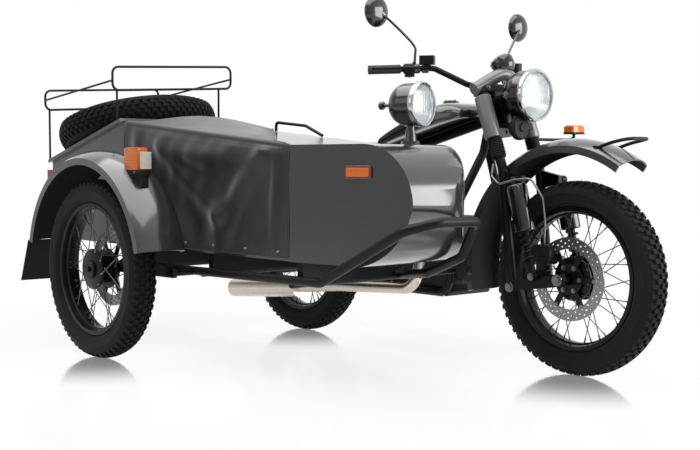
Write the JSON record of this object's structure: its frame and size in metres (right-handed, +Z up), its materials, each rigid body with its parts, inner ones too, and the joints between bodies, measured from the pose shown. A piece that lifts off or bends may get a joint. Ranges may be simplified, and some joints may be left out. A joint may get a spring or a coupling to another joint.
{
  "type": "sidecar motorcycle",
  "caption": "Flat-twin motorcycle with a one-seat sidecar on a tube frame, leading-link fork, spoked wheels, spare wheel and rack on the boot lid.",
  "frame": {"origin": "floor level, at the middle of the whole footprint", "axes": "+X forward, +Y to the rider's left, +Z up"},
  "size_m": [2.6005, 1.645, 1.362],
  "materials": {
    "satin_grey_paint": "satin",
    "black_frame_paint": "satin",
    "black_wheel_paint": "satin",
    "engine_casting": "matte",
    "stainless_pipe": "satin",
    "brake_steel": "brushed",
    "brake_casting": "satin",
    "tyre_rubber": "matte",
    "grip_rubber": "matte",
    "black_cap_plastic": "matte",
    "vinyl_cover": "matte",
    "seat_vinyl": "matte",
    "clear_glass": "gloss",
    "amber_plastic": "gloss",
    "red_plastic": "gloss"
  },
  "bodies": {
    "chassis": {"motorcycle_frame": "black_frame_paint", "engine_block": "engine_casting", "cylinders": "engine_casting", "exhaust_system": "stainless_pipe", "fuel_tank": "satin_grey_paint", "tank_cap": "black_cap_plastic", "saddles": "seat_vinyl", "rear_fender": "black_frame_paint", "swing_arm": "black_frame_paint", "shock_absorbers": "black_frame_paint", "footrests": "black_frame_paint", "sidecar_tub": "satin_grey_paint", "sidecar_boot": "satin_grey_paint", "tonneau_cover": "vinyl_cover", "sidecar_frame": "black_frame_paint", "sidecar_swing_arm": "black_frame_paint", "sidecar_fender": "satin_grey_paint", "mudflap": "grip_rubber", "grab_rail": "black_frame_paint", "searchlight_shell": "black_frame_paint", "searchlight_lens": "clear_glass", "marker_lamp_base": "grip_rubber", "amber_lenses": "amber_plastic", "rear_lamps": "red_plastic"},
    "steering": {"fork": "black_frame_paint", "front_shocks": "black_frame_paint", "handlebar": "black_frame_paint", "grips": "grip_rubber", "mirrors": "black_frame_paint", "headlamp_shell": "black_frame_paint", "headlamp_lens": "clear_glass", "front_fender": "satin_grey_paint", "fender_loop": "black_frame_paint", "front_caliper": "brake_casting", "left_indicator": "amber_plastic", "hand_controls": "black_frame_paint", "dials": "black_frame_paint", "brake_hose": "grip_rubber"},
    "front_wheel": {"front_tyre": "tyre_rubber", "front_rim": "black_wheel_paint", "front_brake_disc": "brake_steel"},
    "rear_wheel": {"rear_tyre": "tyre_rubber", "rear_rim": "black_wheel_paint", "rear_brake_disc": "brake_steel"},
    "sidecar_wheel": {"sidecar_tyre": "tyre_rubber", "sidecar_rim": "black_wheel_paint", "sidecar_brake_disc": "brake_steel"},
    "boot_lid": {"boot_lid": "satin_grey_paint", "spare_tyre": "tyre_rubber", "spare_rim": "black_wheel_paint", "luggage_rack": "black_frame_paint"}
  },
  "joints": [
    {"name": "steering", "type": "hinge", "parent": "chassis", "child": "steering", "pos_m": [0.565, 0.366, 0.928], "axis": [-0.342, 0, 0.9397], "range_deg": [-32, 32]},
    {"name": "front_wheel_spin", "type": "hinge", "parent": "steering", "child": "front_wheel", "pos_m": [0.96, 0.366, 0.345], "axis": [0, 1, 0], "continuous": true},
    {"name": "rear_wheel_spin", "type": "hinge", "parent": "chassis", "child": "rear_wheel", "pos_m": [-0.54, 0.366, 0.345], "axis": [0, 1, 0], "continuous": true},
    {"name": "sidecar_wheel_spin", "type": "hinge", "parent": "chassis", "child": "sidecar_wheel", "pos_m": [-0.46, -0.734, 0.345], "axis": [0, 1, 0], "continuous": true},
    {"name": "boot_lid_hinge", "type": "hinge", "parent": "chassis", "child": "boot_lid", "pos_m": [-0.62, -0.2865, 0.918], "axis": [0, 1, 0], "range_deg": [0, 60]}
  ]
}
